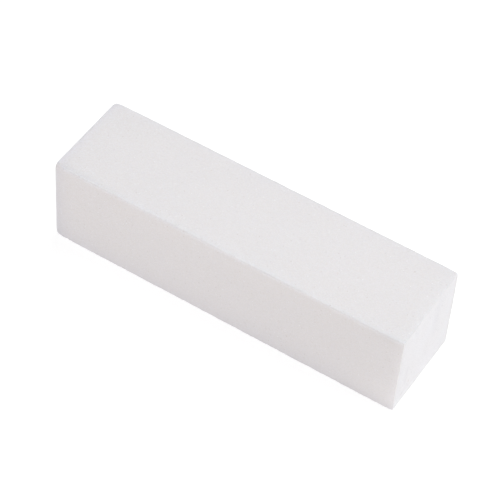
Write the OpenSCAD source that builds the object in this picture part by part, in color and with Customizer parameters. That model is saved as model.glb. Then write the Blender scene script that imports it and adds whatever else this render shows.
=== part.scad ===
// Nail buffer block: a foam bar with a sheet of coated abrasive glued to each long side.
// X runs along the bar, Y from front to rear, Z up. The origin is under the middle of the bar.
// Each sheet has three layers: a glue film on the foam, a paper backing and a grit coat.
// The top and bottom sheets are as wide as the foam. The front and rear sheets cover their cut edges.

/* [Block] */
// Length of the bar, end to end
block_l = 95.25; // [60:0.25:150]
// Width over the front and rear grit coats
block_w = 25.4; // [15:0.1:40]
// Height over the top and bottom grit coats
block_h = 25.4; // [15:0.1:40]
// Radius of the four long edges
edge_r = 0.4; // [0.1:0.05:0.4]

/* [Sheets] */
// Thickness of each glue film
glue_t = 0.1; // [0.08:0.01:0.2]
// Thickness of each backing paper
paper_t = 0.18; // [0.12:0.01:0.3]
// Thickness of each grit coat
grit_t = 0.22; // [0.15:0.01:0.4]

/* [Pressed end, at -X] */
// Length over which the four sides curve in
pressed_l = 1.9; // [1:0.1:2.5]
// How far each side has gone in at the end face
pressed_drop = 0.7; // [0.5:0.05:0.9]

/* [Cut end, at +X] */
// Length over which the four sides curve in
cut_l = 0.6; // [0.4:0.1:1]
// How far each side has gone in at the end face
cut_drop = 0.2; // [0.1:0.05:0.35]

/* [Hidden] */
$fn = 180;
// depth of the foam below the outer surface
sheet_t = grit_t + paper_t + glue_t;
// depths of the layer faces below the outer surface
grit_z = [0, grit_t];
paper_z = [grit_t, grit_t + paper_t];
glue_z = [grit_t + paper_t, sheet_t];
foam_colour = [0.94, 0.93, 0.95];
glue_colour = [0.90, 0.88, 0.82];
paper_colour = [0.93, 0.92, 0.91];
grit_colour = [0.90, 0.89, 0.90];

// Radius of the arc that leaves a straight side smoothly and falls by d over a length l
function fall_r(l, d) = (l * l + d * d) / (2 * d);

// One end of the bar's outline, at -X: its corners rounded by arcs that reach the end face at a drop of d
module end_outline(l, d, half) {
    r = fall_r(l, d);
    translate([-block_l / 2, 0]) intersection() {
        translate([0, -half]) square([2 * l + r, 2 * half]);
        union() {
            translate([0, r - half]) square([2 * l + r, 2 * (half - r)]);
            translate([l, -half]) square([l + r, 2 * half]);
            for (v = [-1, 1]) translate([l, v * (half - r)]) circle(r = r);
        }
    }
}

// Outline of the bar seen square to a long side, half high on each side of its middle line
module bar_outline(half) {
    union() {
        translate([pressed_l - block_l / 2, -half]) square([block_l - pressed_l - cut_l, 2 * half]);
        end_outline(pressed_l, pressed_drop, half);
        mirror([1, 0]) end_outline(cut_l, cut_drop, half);
    }
}

// Everything between two surfaces at the same depth below the top and the bottom
module between_flats(depth) {
    translate([0, 0, block_h / 2]) rotate([90, 0, 0])
        linear_extrude(height = 2 * block_w, center = true) bar_outline(block_h / 2 - depth);
}

// Everything between two surfaces at the same depth behind the front and the rear
module between_sides(depth) {
    translate([0, 0, -block_h / 2])
        linear_extrude(height = 2 * block_h) bar_outline(block_w / 2 - depth);
}

// A bar as long as the block, with its four long edges rounded
module rounded_bar() {
    rotate([90, 0, 90]) linear_extrude(height = block_l + 2, center = true) union() {
        translate([-block_w / 2 + edge_r, 0]) square([block_w - 2 * edge_r, block_h]);
        translate([-block_w / 2, edge_r]) square([block_w, block_h - 2 * edge_r]);
        for (y = [-1, 1], z = [0, 1])
            translate([y * (block_w / 2 - edge_r), edge_r + z * (block_h - 2 * edge_r)]) circle(r = edge_r);
    }
}

// One layer of the top sheet (side 1) or the bottom sheet (side -1)
module flat_layer(depths, side) {
    intersection() {
        difference() {
            between_flats(depths[0]);
            between_flats(depths[1]);
        }
        between_sides(sheet_t);
        translate([-block_l, -block_w, side > 0 ? block_h / 2 : -block_h / 2])
            cube([2 * block_l, 2 * block_w, block_h]);
    }
}

// One layer of the rear sheet (side 1) or the front sheet (side -1)
module side_layer(depths, side) {
    intersection() {
        difference() {
            between_sides(depths[0]);
            between_sides(depths[1]);
        }
        between_flats(0);
        rounded_bar();
        translate([-block_l, side > 0 ? 0 : -block_w, -block_h])
            cube([2 * block_l, block_w, 3 * block_h]);
    }
}

// Foam bar, bare at both ends
module foam_core() {
    color(foam_colour) intersection() {
        between_flats(sheet_t);
        between_sides(sheet_t);
    }
}

// Adhesive between the foam and each sheet
module glue_top() { color(glue_colour) flat_layer(glue_z, 1); }
module glue_bottom() { color(glue_colour) flat_layer(glue_z, -1); }
module glue_front() { color(glue_colour) side_layer(glue_z, -1); }
module glue_rear() { color(glue_colour) side_layer(glue_z, 1); }

// Paper that carries the grit
module paper_top() { color(paper_colour) flat_layer(paper_z, 1); }
module paper_bottom() { color(paper_colour) flat_layer(paper_z, -1); }
module paper_front() { color(paper_colour) side_layer(paper_z, -1); }
module paper_rear() { color(paper_colour) side_layer(paper_z, 1); }

// Grains set in resin, the working surface of each side
module grit_top() { color(grit_colour) flat_layer(grit_z, 1); }
module grit_bottom() { color(grit_colour) flat_layer(grit_z, -1); }
module grit_front() { color(grit_colour) side_layer(grit_z, -1); }
module grit_rear() { color(grit_colour) side_layer(grit_z, 1); }

foam_core();
glue_top();
glue_bottom();
glue_front();
glue_rear();
paper_top();
paper_bottom();
paper_front();
paper_rear();
grit_top();
grit_bottom();
grit_front();
grit_rear();
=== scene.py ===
import math

import bpy
import numpy as np
from mathutils import Matrix, Vector


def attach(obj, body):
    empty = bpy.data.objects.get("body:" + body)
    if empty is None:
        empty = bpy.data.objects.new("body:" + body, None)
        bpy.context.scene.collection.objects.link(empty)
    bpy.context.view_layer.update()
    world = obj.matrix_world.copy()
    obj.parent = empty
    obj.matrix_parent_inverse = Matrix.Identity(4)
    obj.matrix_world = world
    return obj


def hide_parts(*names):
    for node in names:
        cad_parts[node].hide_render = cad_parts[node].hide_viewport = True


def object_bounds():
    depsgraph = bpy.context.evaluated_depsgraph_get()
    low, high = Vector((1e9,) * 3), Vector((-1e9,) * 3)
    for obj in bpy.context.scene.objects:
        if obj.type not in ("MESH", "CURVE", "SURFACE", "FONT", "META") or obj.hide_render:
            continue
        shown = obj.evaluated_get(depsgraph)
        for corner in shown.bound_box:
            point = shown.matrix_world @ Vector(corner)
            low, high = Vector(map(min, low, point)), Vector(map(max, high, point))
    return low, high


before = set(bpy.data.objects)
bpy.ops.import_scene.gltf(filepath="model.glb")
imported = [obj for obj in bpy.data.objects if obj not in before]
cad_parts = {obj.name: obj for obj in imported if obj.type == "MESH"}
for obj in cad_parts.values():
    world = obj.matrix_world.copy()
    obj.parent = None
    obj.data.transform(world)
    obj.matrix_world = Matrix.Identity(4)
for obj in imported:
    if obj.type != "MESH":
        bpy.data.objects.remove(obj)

cad_box = [list(c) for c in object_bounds()]

# All the making is in millimetres, in the CAD's frame: X along the bar, Y front to rear, Z up.
MM = 0.001
L, W, H = [(b - a) / MM for a, b in zip(*cad_box)]
HALF = W / 2
GRIT, PAPER, GLUE = 0.22, 0.18, 0.10
SHEET = GRIT + PAPER + GLUE
GRAIN = 0.8  # how strongly the grains stand out


# ---------------------------------------------------------------- noise

def hash01(ix, iy, seed):
    """A fixed random number from 0 to 1 for each pair of whole numbers."""
    n = (ix.astype(np.int64) * 374761393 + iy.astype(np.int64) * 668265263 + seed * 362437 + 1013) & 0xFFFFFFFF
    n = ((n ^ (n >> 13)) * 1274126177) & 0xFFFFFFFF
    n = ((n ^ (n >> 15)) * 2246822519) & 0xFFFFFFFF
    n = n ^ (n >> 16)
    return (n & 0xFFFFFF) / float(0x1000000)


def soft_noise(x, y, seed):
    """Smooth noise from -1 to 1 with bumps about one unit apart."""
    x, y = np.broadcast_arrays(np.asarray(x, float), np.asarray(y, float))
    ix, iy = np.floor(x), np.floor(y)
    fx, fy = x - ix, y - iy
    fx, fy = fx * fx * fx * (fx * (fx * 6 - 15) + 10), fy * fy * fy * (fy * (fy * 6 - 15) + 10)
    a, b = hash01(ix, iy, seed), hash01(ix + 1, iy, seed)
    c, d = hash01(ix, iy + 1, seed), hash01(ix + 1, iy + 1, seed)
    return 2 * ((a * (1 - fx) + b * fx) * (1 - fy) + (c * (1 - fx) + d * fx) * fy) - 1


def cells(x, y, seed):
    """Distance to the nearest of a scatter of points one unit apart, to the second nearest, the offset to the nearest and its own random number."""
    x, y = np.broadcast_arrays(np.asarray(x, float), np.asarray(y, float))
    ix, iy = np.floor(x), np.floor(y)
    best = np.full(x.shape, 9.0)
    second = np.full(x.shape, 9.0)
    dx, dy, own = np.zeros(x.shape), np.zeros(x.shape), np.zeros(x.shape)
    for i in (-1, 0, 1):
        for j in (-1, 0, 1):
            px = ix + i + 0.5 + 0.9 * (hash01(ix + i, iy + j, seed) - 0.5)
            py = iy + j + 0.5 + 0.9 * (hash01(ix + i, iy + j, seed + 71) - 0.5)
            d = np.hypot(x - px, y - py)
            near = d < best
            second = np.where(near, best, np.minimum(second, d))
            own = np.where(near, hash01(ix + i, iy + j, seed + 142), own)
            dx, dy = np.where(near, x - px, dx), np.where(near, y - py, dy)
            best = np.where(near, d, best)
    return best, second, dx, dy, own


# ---------------------------------------------------------------- the block's form

def end_fall(t, length, drop):
    """How far a side has gone in at a distance t from an end, on the CAD's arc."""
    r = (length * length + drop * drop) / (2 * drop)
    u = np.clip(length - t, 0, length)
    return r - np.sqrt(r * r - u * u)


def form(x, y, z):
    """Where a point of the plain square bar goes on the real one: soft long edges, gently crowned sides, ends that curve in, and cuts that aren't quite square."""
    x, y, z = np.broadcast_arrays(np.asarray(x, float), np.asarray(y, float), np.asarray(z, float))
    cy, cz = y, z - H / 2
    ay, az = np.abs(cy), np.abs(cz)
    flat = az >= ay
    ring, along = np.maximum(ay, az), np.minimum(ay, az)
    depth = HALF - ring
    s = ring - along
    edge = (cy > 0) * 1 + (cz > 0) * 2

    # long edges: a small radius that wanders along the edge, larger where the pressed end meets it
    left, right = x + L / 2, L / 2 - x
    wander = np.zeros(x.shape)
    fine = np.zeros(x.shape)
    for e in range(4):
        on = edge == e
        wander = np.where(on, soft_noise(x / 2.3, 7.5 * e, 301 + e) + 0.6 * soft_noise(x / 0.9, 3.5 * e, 331 + e), wander)
        fine = np.where(on, soft_noise(x / 0.37, 5.5 * e, 361 + e), fine)
    inner = np.exp(-np.clip(depth, 0, None) / 0.6)
    knocked = np.choose(edge, (0.18, 0.18, 0.80, 0.0)) * np.exp(-(left / 1.7) ** 2)
    r = (np.choose(edge, (0.38, 0.38, 0.38, 0.31)) + 0.05 * wander + np.choose(edge, (0.03, 0.03, 0.07, 0.03)) * fine + knocked) * inner + 0.02
    a = np.clip(1 - s / r, 0, 1) * (math.pi / 4)
    out = ring - r + r * np.cos(a)
    side = np.where(s < r, ring - r + r * np.sin(a), along)
    # the sides fall away a little towards the edge, and swell between the edges
    fade = np.exp(-np.clip(depth, 0, None) / 4.0)
    crown = (0.03 + 0.018 * wander + 0.014 * fine) * fade
    way = np.where(flat, np.where(cz > 0, 0, 1), np.where(cy > 0, 2, 3))
    swell = np.where(way == 1, 0.0, fade)  # the side it lies on stays flat
    swell = swell * (1 - np.exp(-np.clip(left, 0, None) / 6.0))
    out = out - crown * np.exp(-s / 0.95) + swell * np.choose(way, (0.09, 0.0, 0.07, 0.16)) * (1 - np.exp(-s / 3.0))
    side = side - crown * np.exp(-s / 0.55)

    # faces that aren't dead flat
    lie = np.where(flat, cy, cz)
    wave = np.zeros(x.shape)
    for f in range(4):
        wave = np.where(way == f, soft_noise(x / 19.0, lie / 11.0, 401 + f) + 0.5 * soft_noise(x / 7.0, lie / 6.0, 411 + f), wave)
    out = out + 0.016 * wave * swell * (1 - np.exp(-s / 1.5))

    cy = np.sign(cy) * np.where(flat, side, out)
    cz = np.sign(cz) * np.where(flat, out, side)
    fall = end_fall(left, 0.95, 0.46) + 0.24 * np.exp(-np.clip(left, 0, None) / 1.5)
    last = np.exp(-np.clip(right, 0, None) / 1.8)
    tip = np.exp(-np.clip(right, 0, None) / 0.8)
    cy = cy * (1 - (fall + np.where(cy > 0, 0.06 * last + 0.06 * tip, 0.12 * last + 0.12 * tip)) / HALF)
    cz = cz * (1 - (fall + np.where(cz > 0, 0.05 * last + 0.05 * tip, 0.0)) / HALF)

    # the two cuts lean a little
    t = left / L
    v, w = cy / HALF, cz / HALF
    x = x + t * (0.16 * v - 0.02 * w - 0.07 * v * w + 0.01) + (1 - t) * (0.10 * v + 0.09 * w - 0.02)
    return np.stack([x, cy, cz + H / 2], -1)


# ---------------------------------------------------------------- meshes

def mesh_piece(name, points, faces, uvs, nodes):
    me = bpy.data.meshes.new(name)
    me.from_pydata((points * MM).tolist(), [], faces)
    layer = me.uv_layers.new(name="OFBake")
    layer.uv.foreach_set("vector", np.asarray(uvs, np.float32).ravel())
    me.polygons.foreach_set("use_smooth", np.ones(len(me.polygons), bool))
    me.update()
    me.validate()
    me.set_sharp_from_angle(angle=math.radians(52))
    ob = bpy.data.objects.new(name, me)
    bpy.context.scene.collection.objects.link(ob)
    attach(ob, "root")
    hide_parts(*nodes)
    return ob


def stations(fine):
    """Places along the bar for a sheet's rings: even ones for a grained sheet, or few, crowded where the ends curve."""
    if fine:
        return np.linspace(-L / 2, L / 2, fine + 1)
    a = -L / 2 + 2.4 * np.linspace(0, 1, 13) ** 1.3
    b = np.linspace(-L / 2 + 2.4, L / 2 - 1.2, 42)[1:-1]
    c = L / 2 - 1.2 * np.linspace(1, 0, 9) ** 1.3
    return np.concatenate([a, b, c])


def sheet_layer(name, node, side, top_depth, low_depth, fine, across, relief, seed, ragged, short=0.0, wrap=False):
    """One layer of one sheet, a closed thin slab that follows the block's form. relief(x, v, seed) lifts its outer face, and ragged(v, seed) draws its two cut ends in. With wrap, the coat runs over the sheet's two long cut edges, and short keeps a layer below clear of it."""
    flat = side in ("top", "bottom")
    b = (HALF - SHEET if flat else HALF) - short
    xs = stations(fine)
    vs = np.linspace(-b, b, across + 1)
    keep = np.unique(np.linspace(1, across - 1, 7).round().astype(int)) if wrap else np.unique(np.linspace(0, across, 7).round().astype(int))
    edge_depth = SHEET if wrap else low_depth
    wall = np.linspace(top_depth, edge_depth, 5 if wrap else 4)[1:]  # depths down an edge, below the outer face

    # the ring: the outer face, the far edge, the inner face back, the near edge
    far_v, far_d = [b] * len(wall), list(wall)
    if wrap:
        far_v, far_d = far_v + [vs[-2]], far_d + [edge_depth]
    back_v, back_d = list(vs[keep][::-1]), [low_depth] * len(keep)
    if not wrap:
        back_v, back_d = back_v[1:-1], back_d[1:-1]
    near_v, near_d = [-q for q in far_v[::-1]], far_d[::-1]
    v = np.array(list(vs) + far_v + back_v + near_v)
    d = np.array([top_depth] * len(vs) + far_d + back_d + near_d)
    n_out, n_far, n_back, n = len(vs), len(far_v), len(back_v), len(v)
    outer = np.arange(n) < n_out
    X, V = np.meshgrid(xs, v, indexing="ij")
    D = np.broadcast_to(d, X.shape).copy()

    # cut ends: each layer stops a little short or proud, unevenly along its edge
    near = np.clip(1 - (L / 2 - np.abs(X)) / 0.6, 0, 1)
    X = X - np.sign(X) * near * ragged(V + np.where(X > 0, 40.0, 0.0), seed)

    lift, push = np.zeros(X.shape), np.zeros(X.shape)
    if relief is not None:
        lift[:, :n_out] = relief(X[:, :n_out], V[:, :n_out], seed)
        if wrap:
            for q in range(n):
                if not outer[q] and abs(v[q]) > b - 1e-9:
                    push[:, q] = np.sign(v[q]) * relief(X[:, q], v[q] + np.sign(v[q]) * (d[q] - top_depth), seed)
    if side == "top":
        P = form(X, V, H - D + lift)
    elif side == "bottom":
        P = form(X, V, D - lift)
    elif side == "front":
        P = form(X, -HALF + D - lift, H / 2 + V + push)
    else:
        P = form(X, HALF - D + lift, H / 2 + V + push)

    ns = len(xs)
    idx = np.arange(ns * n).reshape(ns, n)
    flip = side in ("bottom", "rear")

    # the map: the outer face in two halves, the rest in narrow strips
    faces, uvs = [], []
    un = (xs - xs[0]) / (xs[-1] - xs[0])
    half = ns // 2
    vn = (v + b) / (2 * b)

    def outer_uv(i, j, second):
        if second:
            return (0.004 + 0.992 * (un[i] - un[half]) / (1 - un[half]), 0.535 + 0.435 * vn[j])
        return (0.004 + 0.992 * un[i] / un[half], 0.02 + 0.435 * vn[j])

    def strip_uv(i, j):
        k = j - n_out + 1 if j else n - n_out + 1
        return (0.004 + 0.992 * un[i], 0.462 + 0.066 * k / (n - n_out + 1))

    for i in range(ns - 1):
        second = i >= half
        for j in range(n):
            quad = [(i, j), (i, (j + 1) % n), (i + 1, (j + 1) % n), (i + 1, j)]
            if not flip:
                quad.reverse()
            faces.append([int(idx[p]) for p in quad])
            if j + 1 < n_out:
                uvs += [outer_uv(p, q, second) for p, q in quad]
            else:
                uvs += [strip_uv(p, q) for p, q in quad]

    # the cut ends, rows of polygons between the outer and the inner points
    back = list(range(n_out + n_far, n_out + n_far + n_back))[::-1]
    far, near_edge = list(range(n_out, n_out + n_far)), list(range(n - n_far, n))
    polys = []
    if wrap:
        polys.append([n_out - 2, n_out - 1] + far + [back[-1]])
        polys.append([0, 1, back[0]] + near_edge)
        inner = back
    else:
        inner = [near_edge[0]] + back + [far[-1]]
    for q in range(len(keep) - 1):
        poly = list(range(keep[q], keep[q + 1] + 1))
        if not wrap and q == len(keep) - 2:
            poly += far[:-1]
        poly += [inner[q + 1], inner[q]]
        if not wrap and q == 0:
            poly += near_edge[1:]
        polys.append(poly)
    for i, u0 in ((0, 0.004), (ns - 1, 0.504)):
        for poly in polys:
            turned = poly if (i == 0) != flip else poly[::-1]
            faces.append([int(idx[i, p]) for p in turned])
            uvs += [(u0 + 0.49 * vn[p], 0.978 + 0.018 * (d[p] - top_depth) / (edge_depth - top_depth)) for p in turned]
    return mesh_piece(name, P.reshape(-1, 3), faces, uvs, [node])


def grains(x, v, seed):
    """Height of a coat of sharp grains half sunk in resin, in millimetres."""
    f, g, dx, dy, own = cells(x / 0.31, v / 0.31, seed)
    turn = 6.283 * own * 7
    tilt = dx * np.cos(turn) + dy * np.sin(turn)
    lump = np.clip(1.0 - 1.15 * f, 0, 1) * (0.35 + 0.65 * own) + 0.35 * tilt
    loose = hash01(np.round(x / 0.158), np.round(v / 0.167), seed + 17) - 0.5
    return GRAIN * (-0.016 + 0.040 * lump + 0.020 * loose + 0.010 * soft_noise(x / 1.3, v / 1.3, seed + 31))


def cut_grit(v, seed):
    return 0.010 + 0.010 * soft_noise(v / 0.33, 0.5, seed + 3) + 0.006 * soft_noise(v / 1.1, 2.5, seed + 4)


def cut_paper(v, seed):
    return 0.004 + 0.004 * soft_noise(v / 0.5, 0.5, seed + 3) + 0.004 * soft_noise(v / 2.7, 2.5, seed + 4)


def cut_glue(v, seed):
    return 0.008 + 0.006 * soft_noise(v / 0.9, 0.5, seed + 3)


def ramp(a, b, x):
    """0 up to a, rising smoothly to 1 at b. With a above b it falls instead."""
    q = np.clip((x - a) / (b - a), 0, 1)
    return q * q * (3 - 2 * q)


def scuffs(y, z):
    """Faint marks on the crisp end, from 0 to 1: dents where it was pressed, and a fine line with a speck."""
    dent = 0.8 * np.exp(-((y + 8.1 - 0.06 * (z - 8.5)) / 0.85) ** 2) * ramp(4.0, 6.2, z) * ramp(13.0, 9.8, z)
    shallow = 0.5 * np.exp(-((y - 4.4) / 1.7) ** 2) * ramp(9.0, 13.5, z)
    low = 2.5 - 0.4 * np.clip(y + 3.0, 0, 3)
    line = np.exp(-((z - low) / 0.24) ** 2) * ramp(-10.0, -9.2, y) * ramp(0.8, -0.8, y)
    at = np.clip(((y + 9.4) * 2.5 + (z - 2.5) * 1.3) / (2.5 ** 2 + 1.3 ** 2), 0, 1)
    slant = np.exp(-(np.hypot(y + 9.4 - 2.5 * at, z - 2.5 - 1.3 * at) / 0.4) ** 2)
    spot = np.exp(-(np.hypot(y + 6.0, (z - 4.4) / 1.5) / 0.28) ** 2)
    return np.maximum(np.maximum(dent, shallow), 0.9 * slant), np.maximum(0.35 * line, spot)


def foam_end(y, z, seed):
    """How far the foam's cut end lies behind its plane: a shallow dish, the knife's drag, the cut cells and a few pinholes."""
    v, w = y / HALF, (z - H / 2) / HALF
    rim = np.clip((1 - np.maximum(np.abs(v), np.abs(w))) * 8, 0, 1)
    dish = 0.05 * (1 - v ** 4) * (1 - w ** 4)
    drag = rim * (0.014 * soft_noise(y / 2.2 + 0.3 * w, z / 13.0, seed) + 0.014 * soft_noise(y / 3.0, z / 3.5, seed + 1) + 0.008 * soft_noise(y / 0.9, z / 1.2, seed + 5))
    f, g, dx, dy, own = cells(y / 0.52, z / 0.52, seed + 2)
    pit = np.clip((g - f) / 0.45, 0, 1)
    f2, g2, dx2, dy2, own2 = cells(y / 0.31 + 5.5, z / 0.31 + 2.5, seed + 9)
    pit2 = np.clip((g2 - f2) / 0.5, 0, 1)
    f3, g3, dx3, dy3, own3 = cells(y / 1.7 + 3.5, z / 1.7 + 8.5, seed + 13)
    hole = np.where(own3 > 0.86, np.clip(1.5 - f3 * 1.7 / (0.10 + 0.10 * own3), 0, 1), 0)
    if seed == 640:
        dent, line = scuffs(y, z)
        drag = drag + 0.045 * dent + 0.030 * line
    return 0.006 + dish + drag + 0.026 * (0.3 + 0.7 * own) * pit ** 0.8 + 0.012 * own2 * pit2 + 0.08 * hole * rim


def foam_core_piece():
    """The foam bar: two finely cut ends, and plain sides under the sheets."""
    n, m = 196, 14
    b = HALF - SHEET
    g = np.linspace(-b, b, n + 1)
    Y, Z = np.meshgrid(g, g, indexing="ij")
    pts, faces, uvs = [], [], []
    count = 0
    rims = []
    for end, seed, u0 in ((-1, 610, 0.004), (1, 640, 0.504)):
        X = end * (L / 2 - foam_end(Y, Z + H / 2, seed))
        P = form(X, Y, Z + H / 2)
        idx = count + np.arange((n + 1) ** 2).reshape(n + 1, n + 1)
        pts.append(P.reshape(-1, 3))
        count += (n + 1) ** 2
        for i in range(n):
            for j in range(n):
                quad = [(i, j), (i + 1, j), (i + 1, j + 1), (i, j + 1)]
                if end < 0:
                    quad.reverse()
                faces.append([int(idx[p]) for p in quad])
                uvs += [(u0 + 0.49 * p[0] / n, 0.505 + 0.49 * p[1] / n) for p in quad]
        rims.append([idx[:-1, 0], idx[-1, :-1], idx[:0:-1, -1], idx[0, :0:-1]])
    # plain rings between the two ends, m points to a side
    cuts = np.unique(np.linspace(0, n, m + 1).round().astype(int))
    xs = np.concatenate([[-L / 2 + 0.9], np.linspace(-L / 2 + 2.4, L / 2 - 1.2, 24), [L / 2 - 0.5]])
    h = g[cuts]
    ring = [(p, -b) for p in h[:-1]] + [(b, p) for p in h[:-1]] + [(-p, b) for p in h[:-1]] + [(-b, -p) for p in h[:-1]]
    ring = np.array(ring)
    idx = count + np.arange(len(xs) * len(ring)).reshape(len(xs), len(ring))
    X, R = np.meshgrid(xs, np.arange(len(ring)), indexing="ij")
    pts.append(form(X, ring[R, 0], ring[R, 1] + H / 2).reshape(-1, 3))
    nr = len(ring)

    def side_uv(i, r):
        return (0.03 + 0.94 * (i + 1) / (len(xs) + 1), 0.01 + 0.47 * r / nr)

    for i in range(len(xs) - 1):
        for r in range(nr):
            quad = [(i, r), (i + 1, r), (i + 1, r + 1), (i, r + 1)]
            quad.reverse()
            faces.append([int(idx[p[0], p[1] % nr]) for p in quad])
            uvs += [side_uv(*p) for p in quad]
    for end, rim, i in ((-1, rims[0], 0), (1, rims[1], len(xs) - 1)):
        loop = np.concatenate(rim)
        at = np.concatenate([s * n + cuts[:-1] for s in range(4)])
        for r in range(nr):
            a = at[r]
            e = at[(r + 1) % nr] if r + 1 < nr else 4 * n
            edge = [(int(loop[k % (4 * n)]), (k - a) / (e - a)) for k in range(a, e + 1)]
            poly = [(p, (0.004 if end < 0 else 0.996, 0.01 + 0.47 * (r + f) / nr)) for p, f in edge]
            poly += [(int(idx[i, (r + 1) % nr]), side_uv(i, r + 1)), (int(idx[i, r]), side_uv(i, r))]
            if end < 0:
                poly.reverse()
            poly.reverse()
            faces.append([p for p, _ in poly])
            uvs += [t for _, t in poly]
    ob = mesh_piece("foam_core_cut", np.concatenate(pts), faces, uvs, ["foam_core"])
    marks = scuffs(Y, Z + H / 2)
    for name, mark in zip(("dent", "line"), marks):
        full = np.zeros(len(ob.data.vertices), np.float32)
        full[(n + 1) ** 2:2 * (n + 1) ** 2] = mark.ravel()
        ob.data.attributes.new(name, "FLOAT", "POINT").data.foreach_set("value", full)
    return ob


# ---------------------------------------------------------------- materials

class Tree:
    """A short way to write a material's nodes."""

    def __init__(self, name):
        self.mat = bpy.data.materials.new(name)
        self.mat.use_nodes = True
        self.nt = self.mat.node_tree
        self.nt.nodes.clear()
        self.out = self.nt.nodes.new("ShaderNodeOutputMaterial")
        self.bsdf = self.nt.nodes.new("ShaderNodeBsdfPrincipled")
        self.nt.links.new(self.bsdf.outputs[0], self.out.inputs["Surface"])
        self.where = self.nt.nodes.new("ShaderNodeTexCoord").outputs["Object"]

    def link(self, a, b):
        self.nt.links.new(a, b)

    def node(self, kind, **sets):
        n = self.nt.nodes.new(kind)
        for k, v in sets.items():
            setattr(n, k, v)
        return n

    def noise(self, scale, detail=2.0, rough=0.5, offset=None):
        n = self.node("ShaderNodeTexNoise")
        n.inputs["Scale"].default_value = scale
        n.inputs["Detail"].default_value = detail
        n.inputs["Roughness"].default_value = rough
        self.link(self.shifted(offset), n.inputs["Vector"])
        return n.outputs["Fac"]

    def shifted(self, offset):
        if offset is None:
            return self.where
        m = self.node("ShaderNodeMapping")
        m.inputs["Location"].default_value = offset
        self.link(self.where, m.inputs["Vector"])
        return m.outputs["Vector"]

    def voronoi(self, scale, feature="F1", offset=None):
        n = self.node("ShaderNodeTexVoronoi", feature=feature)
        n.inputs["Scale"].default_value = scale
        self.link(self.shifted(offset), n.inputs["Vector"])
        return n

    def span(self, value, a, b, c, d, smooth=False):
        n = self.node("ShaderNodeMapRange", interpolation_type="SMOOTHSTEP" if smooth else "LINEAR")
        for k, x in zip(("From Min", "From Max", "To Min", "To Max"), (a, b, c, d)):
            n.inputs[k].default_value = x
        self.link(value, n.inputs["Value"])
        return n.outputs["Result"]

    def math(self, op, a, b=0.0, clamp=False):
        n = self.node("ShaderNodeMath", operation=op, use_clamp=clamp)
        for x, s in ((a, n.inputs[0]), (b, n.inputs[1])):
            if isinstance(x, (int, float)):
                s.default_value = x
            else:
                self.link(x, s)
        return n.outputs[0]

    def mix(self, fac, a, b, blend="MIX"):
        n = self.node("ShaderNodeMix", data_type="RGBA", blend_type=blend)
        f, ca, cb = n.inputs[0], n.inputs[6], n.inputs[7]
        for x, s in ((fac, f), (a, ca), (b, cb)):
            if isinstance(x, (int, float)):
                s.default_value = x
            elif isinstance(x, tuple):
                s.default_value = (*x, 1.0)
            else:
                self.link(x, s)
        return n.outputs[2]

    def grey(self, vector_or_colour):
        n = self.node("ShaderNodeSeparateColor")
        self.link(vector_or_colour, n.inputs[0])
        return n.outputs[0]

    def bump(self, height, distance, strength=1.0, under=None):
        n = self.node("ShaderNodeBump")
        n.inputs["Strength"].default_value = strength
        n.inputs["Distance"].default_value = distance
        self.link(height, n.inputs["Height"])
        if under is not None:
            self.link(under, n.inputs["Normal"])
        return n.outputs["Normal"]


GRIT_COLOUR = (0.784, 0.7665, 0.7775)
# the long sides are the same grit painted a little darker and warmer, a painted shade with a painted warm light from
# the front
SIDE_GRIT_PAINTED_SHADE = (0.780, 0.7442, 0.7456)
FOAM_COLOUR = (0.827, 0.8178, 0.8364)
PAPER_COLOUR = (0.822, 0.814, 0.822)
GLUE_COLOUR = (0.805, 0.796, 0.794)


def scaled(c, k):
    return tuple(a * b for a, b in zip(c, k))


def towards(t, axis, start, end, wobble=0.0003):
    """0 at one place along an axis and further back, rising to 1 at another, in the object's own coordinates and metres. The limit wavers a little."""
    sep = t.node("ShaderNodeSeparateXYZ")
    t.link(t.where, sep.inputs[0])
    at = t.math("ADD", sep.outputs[axis], t.math("MULTIPLY", t.math("SUBTRACT", t.noise(700, 2.0), 0.5), wobble))
    near = t.span(at, start * MM, end * MM, 0, 1)
    return t.math("MULTIPLY", near, near)


def paint_shading(t, colour, painted_shading):
    """Painted light and shade: tints that make the surface lighter or darker along its edges and across its faces,
    standing in for how the light falls. The list holds (tint, places), and a place is (axis, start, end). Where there
    are several, the tint shows only where they meet.
    """
    for tint, places in painted_shading:
        amount = towards(t, *places[0])
        for place in places[1:]:
            amount = t.math("MULTIPLY", amount, towards(t, *place))
        colour = t.mix(amount, colour, t.mix(1.0, colour, tint, "MULTIPLY"))
    return colour


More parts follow.
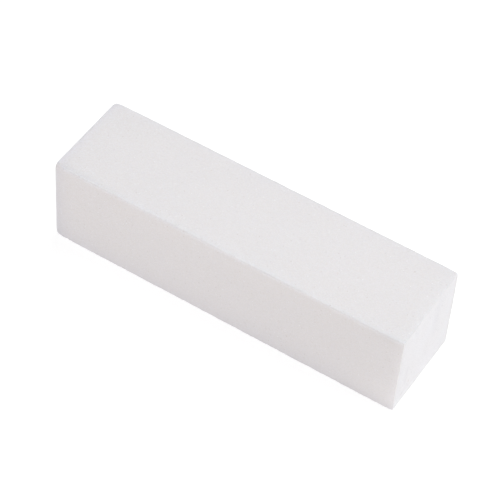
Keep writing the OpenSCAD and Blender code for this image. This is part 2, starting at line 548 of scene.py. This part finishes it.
def grit_material(name, base, painted_shading, chips=None):
    """White grains in resin, with painted light and shade laid over them towards the edges of the sheet and across it,
    as the tint list says. chips says where single grains stand out along a broken edge.
    """
    t = Tree(name)
    c = base
    # each grain is a little lighter or darker than the next, and a little warmer or cooler
    grain = t.voronoi(3900)
    split = t.node("ShaderNodeSeparateColor")
    t.link(grain.outputs["Color"], split.inputs[0])
    own, red, blue = split.outputs
    colour = t.mix(red, scaled(c, (0.991, 1.0, 1.0)), scaled(c, (1.009, 1.0, 1.0)))
    colour = t.mix(1.0, colour, t.mix(blue, (1.0, 1.0, 0.9865), (1.0, 1.0, 1.0135)), "MULTIPLY")
    colour = t.mix(1.0, colour, t.mix(own, (0.983, 0.978, 0.974), (1.017, 1.022, 1.026)), "MULTIPLY")
    if chips:
        stronger = t.span(towards(t, 0, LEFT + 40.0, LEFT + 4.0), 0, 1, 0, 0.6)
        colour = t.mix(stronger, colour, t.mix(1.0, colour, t.mix(own, (0.990, 0.984, 0.980), (1.010, 1.016, 1.020)), "MULTIPLY"))
    # a faint drift over the sheet
    drift = t.span(t.noise(90, 2.0), 0.3, 0.7, 0, 1)
    colour = t.mix(drift, t.mix(1.0, colour, (1.002, 1.0, 0.997), "MULTIPLY"), t.mix(1.0, colour, (0.998, 1.0, 1.003), "MULTIPLY"))
    # painted shade in the hollows: the resin lying lower between grains is painted slightly darker
    low = t.span(grain.outputs["Distance"], 0.3, 0.8, 0, 1, True)
    colour = t.mix(low, colour, t.mix(1.0, colour, (0.975, 0.972, 0.972), "MULTIPLY"))
    # painted light and shade from the tint list, laid over the grit
    colour = paint_shading(t, colour, painted_shading)
    if chips:
        there = towards(t, *chips[0])
        for place in chips[1:]:
            there = t.math("MULTIPLY", there, towards(t, *place))
        chip = t.voronoi(1900, offset=(0.002, 0.019, 0.008))
        kind = t.grey(chip.outputs["Color"])
        body = t.math("MULTIPLY", there, t.span(chip.outputs["Distance"], 0.55, 0.35, 0, 1))
        colour = t.mix(t.math("MULTIPLY", body, t.span(kind, 0.55, 0.60, 0, 0.38)), colour, (0.86, 0.86, 0.88))
        colour = t.mix(t.math("MULTIPLY", body, t.span(kind, 0.40, 0.35, 0, 1)), colour, t.mix(1.0, colour, (0.962, 0.962, 0.972), "MULTIPLY"))
    # a few grains painted near white, a painted glint standing for facets that catch the light, and a few dull specks
    big = t.voronoi(1100, offset=(0.013, 0.007, 0.021))
    painted_glint = t.math("MULTIPLY", t.span(t.grey(big.outputs["Color"]), 0.85, 0.86, 0, 1), t.span(big.outputs["Distance"], 0.15, 0.09, 0, 1))
    colour = t.mix(painted_glint, colour, (0.885, 0.885, 0.90))
    speck = t.voronoi(640, offset=(0.031, 0.017, 0.003))
    dark = t.math("MULTIPLY", t.span(t.grey(speck.outputs["Color"]), 0.55, 0.56, 0, 1), t.span(speck.outputs["Distance"], 0.12, 0.06, 0, 1))
    colour = t.mix(dark, colour, t.mix(1.0, colour, (0.885, 0.855, 0.835), "MULTIPLY"))
    mild = t.voronoi(900, offset=(0.005, 0.023, 0.011))
    pick, near = t.grey(mild.outputs["Color"]), t.span(mild.outputs["Distance"], 0.26, 0.14, 0, 1)
    colour = t.mix(t.math("MULTIPLY", near, t.span(pick, 0.78, 0.79, 0, 1)), colour, t.mix(1.0, colour, (0.955, 0.948, 0.943), "MULTIPLY"))
    colour = t.mix(t.math("MULTIPLY", near, t.span(pick, 0.14, 0.13, 0, 1)), colour, t.mix(1.0, colour, (1.030, 1.036, 1.042), "MULTIPLY"))
    t.link(colour, t.bsdf.inputs["Base Color"])
    rough = t.span(own, 0, 1, 0.75, 0.95)
    rough = t.math("SUBTRACT", rough, t.math("MULTIPLY", painted_glint, 0.35))
    t.link(rough, t.bsdf.inputs["Roughness"])
    t.bsdf.inputs["Specular IOR Level"].default_value = 0.4
    small = t.bump(t.voronoi(6200).outputs["Distance"], 0.00004, 0.30)
    t.link(t.bump(t.noise(11000, 2.0), 0.00002, 0.30, small), t.bsdf.inputs["Normal"])
    return t.mat


def foam_material(painted_shading):
    t = Tree("white_foam")
    c = FOAM_COLOUR
    colour = t.mix(t.span(t.noise(120, 3.0), 0.35, 0.65, 0, 1), scaled(c, (0.996, 0.992, 0.988)), scaled(c, (1.002, 1.006, 1.010)))
    cell = t.voronoi(2300, "DISTANCE_TO_EDGE")
    wall = t.span(cell.outputs["Distance"], 0.03, 0.22, 1, 0, True)
    colour = t.mix(wall, t.mix(1.0, colour, (0.975, 0.972, 0.975), "MULTIPLY"), t.mix(1.0, colour, (1.02, 1.02, 1.02), "MULTIPLY"))
    # painted light and shade from the tint list, laid over the foam
    colour = paint_shading(t, colour, painted_shading)
    for name, tint in (("dent", (0.950, 0.949, 0.956)), ("line", (0.915, 0.875, 0.840))):
        mark = t.node("ShaderNodeAttribute", attribute_name=name)
        colour = t.mix(mark.outputs["Fac"], colour, t.mix(1.0, colour, tint, "MULTIPLY"))
    t.link(colour, t.bsdf.inputs["Base Color"])
    t.link(t.span(t.noise(4000, 2.0), 0.3, 0.7, 0.62, 0.86), t.bsdf.inputs["Roughness"])
    t.bsdf.inputs["Specular IOR Level"].default_value = 0.4
    t.link(t.bump(t.noise(9000, 2.0), 0.00002, 0.3, t.bump(wall, 0.00003, 0.35)), t.bsdf.inputs["Normal"])
    return t.mat


def paper_material(painted_shading):
    t = Tree("backing_paper")
    c = PAPER_COLOUR
    fibre = t.noise(5200, 4.0, 0.6)
    colour = t.mix(t.span(fibre, 0.3, 0.7, 0, 1), scaled(c, (0.974, 0.970, 0.966)), scaled(c, (1.02, 1.02, 1.02)))
    # painted light and shade from the tint list, laid over the paper
    t.link(paint_shading(t, colour, painted_shading), t.bsdf.inputs["Base Color"])
    t.link(t.span(fibre, 0.3, 0.7, 0.95, 0.8), t.bsdf.inputs["Roughness"])
    t.bsdf.inputs["Specular IOR Level"].default_value = 0.3
    t.link(t.bump(fibre, 0.00002, 0.4), t.bsdf.inputs["Normal"])
    return t.mat


def glue_material(painted_shading):
    t = Tree("contact_glue")
    c = GLUE_COLOUR
    blot = t.noise(2600, 3.0)
    colour = t.mix(t.span(blot, 0.3, 0.7, 0, 1), scaled(c, (0.976, 0.970, 0.964)), scaled(c, (1.02, 1.02, 1.02)))
    # painted light and shade from the tint list, laid over the glue
    t.link(paint_shading(t, colour, painted_shading), t.bsdf.inputs["Base Color"])
    t.link(t.span(blot, 0.3, 0.7, 0.42, 0.6), t.bsdf.inputs["Roughness"])
    t.bsdf.inputs["Specular IOR Level"].default_value = 0.5
    t.link(t.bump(blot, 0.00001, 0.4), t.bsdf.inputs["Normal"])
    return t.mat


# ---------------------------------------------------------------- the block

LEFT, RIGHT = -L / 2, L / 2
# painted light and shade for both long sides: paler and cooler along the top edge, darker towards the bottom where the
# floor shades it, and darker and cooler at the pressed end
side_painted_shading = [
    ((1.008, 1.006, 1.001), [(2, H - 9.0, H - 1.5)]),
    ((1.042, 1.052, 1.068), [(2, H - 1.35, H - 0.5)]),
    ((1.036, 1.030, 1.027), [(2, H - 0.8, H - 0.45)]),
    ((0.968, 1.000, 1.011), [(2, H - 0.6, H - 0.1)]),
    ((0.984, 0.984, 0.983), [(0, -5.0, RIGHT - 6.0)]),
    ((0.935, 0.945, 0.972), [(0, LEFT + 5.8, LEFT + 0.3)]),
    ((0.990, 0.990, 0.990), [(0, LEFT + 14.0, LEFT + 3.0)]),
    ((0.986, 0.988, 0.998), [(2, 7.0, 1.0)]),
    ((0.980, 0.981, 0.996), [(2, 2.5, 0.0)]),
    ((0.996, 1.000, 1.0115), [(2, 20.0, 0.0)]),
    ((0.960, 0.960, 0.960), [(2, 11.0, 0.0)]),
    ((1.017, 1.017, 1.017), [(2, 11.0, H - 1.0)]),
]
# painted light and shade on the front only: paler towards its crisp end and at the top of the pressed end, darker along
# its foot and in bands near the top edge
front_painted_shading = side_painted_shading + [
    ((1.078, 1.080, 1.086), [(0, RIGHT - 3.6, RIGHT - 0.3)]),
    ((1.045, 1.045, 1.043), [(0, RIGHT - 16.0, RIGHT - 2.5), (2, 20.0, 4.0)]),
    ((1.022, 1.022, 1.021), [(0, RIGHT - 26.0, RIGHT - 14.0), (2, 17.0, 7.0)]),
    ((0.982, 0.982, 0.982), [(0, RIGHT - 19.0, RIGHT - 12.0), (2, 5.0, 1.5)]),
    ((1.022, 1.022, 1.021), [(0, RIGHT - 14.0, RIGHT - 3.0)]),
    ((0.972, 0.972, 0.973), [(0, RIGHT - 12.0, RIGHT - 5.0), (2, 16.0, H - 2.0)]),
    ((0.985, 0.985, 0.988), [(0, LEFT + 22.0, LEFT + 4.0), (2, H - 1.6, H - 0.3)]),
    ((1.050, 1.036, 1.020), [(0, LEFT + 3.2, LEFT + 1.0), (2, H - 2.2, H - 0.7)]),
    ((0.992, 0.992, 0.994), [(0, LEFT + 26.0, LEFT + 6.0), (2, 17.0, H - 2.0)]),
    ((0.975, 0.975, 0.975), [(0, RIGHT - 12.0, RIGHT - 4.0), (2, H - 2.5, H - 0.5)]),
    ((0.968, 0.968, 0.969), [(0, LEFT - 10.0, LEFT + 50.0), (2, 3.0, 0.0)]),
    ((0.962, 0.966, 0.967), [(0, LEFT + 1.0, LEFT + 3.0), (1, -HALF + 0.12, -HALF + 0.40)]),
    ((1.022, 1.016, 1.012), [(0, LEFT + 3.0, LEFT + 1.0), (2, H - 3.0, H - 1.2)]),
]
# painted light and shade on the rear only: paler at the crisp end's cut, and a painted shade on the rounded top rim
rear_painted_shading = side_painted_shading + [
    ((1.012, 1.012, 1.015), [(0, RIGHT - 3.0, RIGHT - 0.3)]),
    ((1.085, 1.130, 1.155), [(0, RIGHT - 0.7, RIGHT - 0.15)]),
    ((0.870, 0.870, 0.880), [(1, HALF - 1.0, HALF - 0.35), (2, H - 0.8, H - 0.15)]),
]
# painted light and shade for the top and bottom sheets: darker and cooler towards the rear edge, paler and cooler along
# the front edge, bands at both ends, and a paler foot at the crisp end where the floor shades it
flat_painted_shading = [
    ((0.985, 0.985, 0.985), [(0, -5.0, RIGHT)]),
    ((0.990, 0.990, 0.990), [(1, -1.0, HALF - 5.0)]),
    ((0.972, 0.980, 0.998), [(1, HALF - 3.5, HALF - 0.2)]),
    ((1.012, 1.022, 1.030), [(1, -HALF + 5.5, -HALF + 0.3)]),
    ((1.016, 1.026, 1.032), [(0, RIGHT - 5.0, RIGHT - 0.2)]),
    ((0.974, 0.985, 1.018), [(0, LEFT + 4.2, LEFT + 0.3)]),
    ((1.045, 1.047, 1.054), [(0, LEFT + 1.6, LEFT + 0.5)]),
    ((0.955, 0.953, 0.955), [(0, LEFT + 9.0, LEFT + 1.5), (1, -HALF + 8.0, -HALF + 1.5)]),
    ((1.090, 1.070, 1.045), [(0, LEFT + 3.2, LEFT + 1.0), (1, -HALF + 2.6, -HALF + 0.9)]),
    ((0.950, 0.948, 0.953), [(0, LEFT + 30.0, LEFT + 8.0), (1, -HALF + 3.2, -HALF + 0.8)]),
    ((0.966, 0.980, 0.985), [(1, -HALF + 1.3, -HALF + 0.4)]),
    ((0.970, 0.970, 0.975), [(0, RIGHT - 12.0, RIGHT - 4.0), (1, -HALF + 1.5, -HALF + 0.4)]),
    ((1.110, 1.110, 1.115), [(0, RIGHT - 0.4, RIGHT - 0.05), (2, 1.2, 0.4)]),
]
# painted light and shade on the foam's cut ends: paler towards the bottom, darker towards the top, towards the front
# edge and in patches on the face
foam_painted_shading = [
    ((1.040, 1.040, 1.042), [(2, 17.0, 1.0)]),
    ((0.993, 0.992, 0.993), [(2, H - 8.0, H - 0.5)]),
    ((0.973, 0.973, 0.975), [(1, -HALF + 6.0, -HALF + 0.8)]),
    ((0.968, 0.968, 0.969), [(1, 3.0, HALF - 3.0), (2, 11.0, 3.0)]),
    ((0.970, 0.970, 0.971), [(1, 5.0, HALF - 0.8), (2, 14.0, H - 1.0)]),
    ((0.985, 0.985, 0.986), [(1, 0.5, 3.0), (1, 7.0, 4.5), (2, 13.0, 16.0), (2, 25.0, 20.0)]),
]
# painted light on the cut edges of the paper and glue, paler towards the foot
cut_painted_light = [((1.075, 1.075, 1.080), [(2, 1.6, 0.5)])]
flat_rim = [(1, -HALF + 2.2, -HALF + 0.5), (0, RIGHT + 60.0, LEFT + 5.0)]
side_rim = [(2, H - 1.3, H - 0.3), (0, RIGHT + 60.0, LEFT + 5.0)]
mats = {
    "flat": grit_material("white_grit_flats", GRIT_COLOUR, flat_painted_shading, flat_rim),
    "front": grit_material("white_grit_front", SIDE_GRIT_PAINTED_SHADE, front_painted_shading, side_rim),
    "rear": grit_material("white_grit_rear", SIDE_GRIT_PAINTED_SHADE, rear_painted_shading, side_rim),
    "foam": foam_material(foam_painted_shading),
    "backing": paper_material(cut_painted_light),
    "glue": glue_material(cut_painted_light),
}
made = []
for n, side in enumerate(("top", "bottom", "front", "rear")):
    on_edge = side in ("front", "rear")
    wide = 152 if on_edge else 146
    skin = W / wide if on_edge else 0.0
    made.append((sheet_layer(f"grit_{side}_coat", f"grit_{side}", side, 0.0, GRIT, 580, wide, grains, 1000 + 50 * n, cut_grit, wrap=on_edge), side if on_edge else "flat"))
    made.append((sheet_layer(f"paper_{side}_sheet", f"paper_{side}", side, GRIT, GRIT + PAPER, 0, 48, None, 1010 + 50 * n, cut_paper, short=skin), "backing"))
    made.append((sheet_layer(f"glue_{side}_film", f"glue_{side}", side, GRIT + PAPER, SHEET, 0, 48, None, 1020 + 50 * n, cut_glue, short=skin), "glue"))
core = foam_core_piece()
made.append((core, "foam"))
for ob, slot in made:
    ob.data.materials.append(mats[slot])


# ---------------------------------------------------------------- floor, light and camera

FLOOR = 0.753


def floor_piece():
    me = bpy.data.meshes.new("floor")
    s = 6.0
    me.from_pydata([(-s, -s, 0), (s, -s, 0), (s, s, 0), (-s, s, 0)], [], [(0, 1, 2, 3)])
    ob = bpy.data.objects.new("floor", me)
    bpy.context.scene.collection.objects.link(ob)
    t = Tree("studio_floor")
    t.link(t.mix(t.span(t.noise(3, 3.0), 0.3, 0.7, 0, 1), (0.345, 0.345, 0.345), (0.355, 0.355, 0.355)), t.bsdf.inputs["Base Color"])
    t.bsdf.inputs["Roughness"].default_value = 1.0
    t.bsdf.inputs["Specular IOR Level"].default_value = 0.0
    t.bsdf.inputs["Emission Color"].default_value = (1.0, 1.0, 1.0, 1.0)
    # a pale sheet lit from below as well, more strongly further off
    far = t.node("ShaderNodeVectorMath", operation="LENGTH")
    t.link(t.where, far.inputs[0])
    t.link(t.span(far.outputs["Value"], 0.10, 0.90, FLOOR, 0.99, True), t.bsdf.inputs["Emission Strength"])
    me.materials.append(t.mat)
    ob.location.z = -0.00003
    return ob


floor_piece()

scene = bpy.context.scene
world = bpy.data.worlds.new("studio")
scene.world = world
world.use_nodes = True
sky = world.node_tree.nodes["Background"]
HORIZON, DOME = 1.02, 0.0
links, nodes = world.node_tree.links, world.node_tree.nodes
way_up = nodes.new("ShaderNodeSeparateXYZ")
links.new(nodes.new("ShaderNodeTexCoord").outputs["Generated"], way_up.inputs[0])
falling = nodes.new("ShaderNodeMapRange")
falling.interpolation_type = "SMOOTHSTEP"
for k, v in zip(("From Min", "From Max", "To Min", "To Max"), (0.10, 0.45, HORIZON, DOME)):
    falling.inputs[k].default_value = v
links.new(way_up.outputs[2], falling.inputs["Value"])
sky.inputs["Color"].default_value = (1.0, 1.0, 1.0, 1.0)
links.new(falling.outputs["Result"], sky.inputs["Strength"])


def area_light(name, where, target, size, power, colour):
    data = bpy.data.lights.new(name, "AREA")
    data.shape = "DISK"
    data.size = size
    data.energy = power
    data.color = colour
    ob = bpy.data.objects.new(name, data)
    bpy.context.scene.collection.objects.link(ob)
    ob.location = where
    ob.rotation_mode = "QUATERNION"
    ob.rotation_quaternion = (Vector(target) - Vector(where)).to_track_quat("-Z", "Y")
    return ob


WHITE = (1.0, 1.0, 1.0)
area_light("key", (0.45, 0.25, 0.55), (0, 0, 0.01), 0.5, 2.741, WHITE)
area_light("overhead", (0.0, 0.0, 0.9), (0, 0, 0.01), 0.8, 2.642, WHITE)
area_light("front_soft", (-0.3, -0.65, 0.7), (0, 0, 0.01), 0.7, 2.972, WHITE)
area_light("rear_soft", (-0.1, 0.8, 0.55), (0, 0, 0.01), 0.7, 2.715, WHITE)

cam_data = bpy.data.cameras.new("camera")
cam_data.sensor_fit = "HORIZONTAL"
cam_data.sensor_width = 36.0
cam_data.lens = 150.137
cam_data.clip_start = 0.01
cam_data.clip_end = 50.0
cam = bpy.data.objects.new("camera", cam_data)
scene.collection.objects.link(cam)
right = Vector((0.8462371, 0.53015595, 0.05307954))
down = Vector((0.43539247, -0.63065547, -0.64242281))
ahead = Vector((-0.30710937, 0.56675245, -0.76450997))
turn = Matrix((right, -down, -ahead)).transposed()
cam.matrix_world = Matrix.Translation((0.1516155, -0.279963, 0.3911552)) @ turn.to_4x4()
scene.camera = cam

scene.view_settings.view_transform = "Standard"
scene.view_settings.look = "None"
scene.view_settings.exposure = 0.0
scene.view_settings.gamma = 1.0
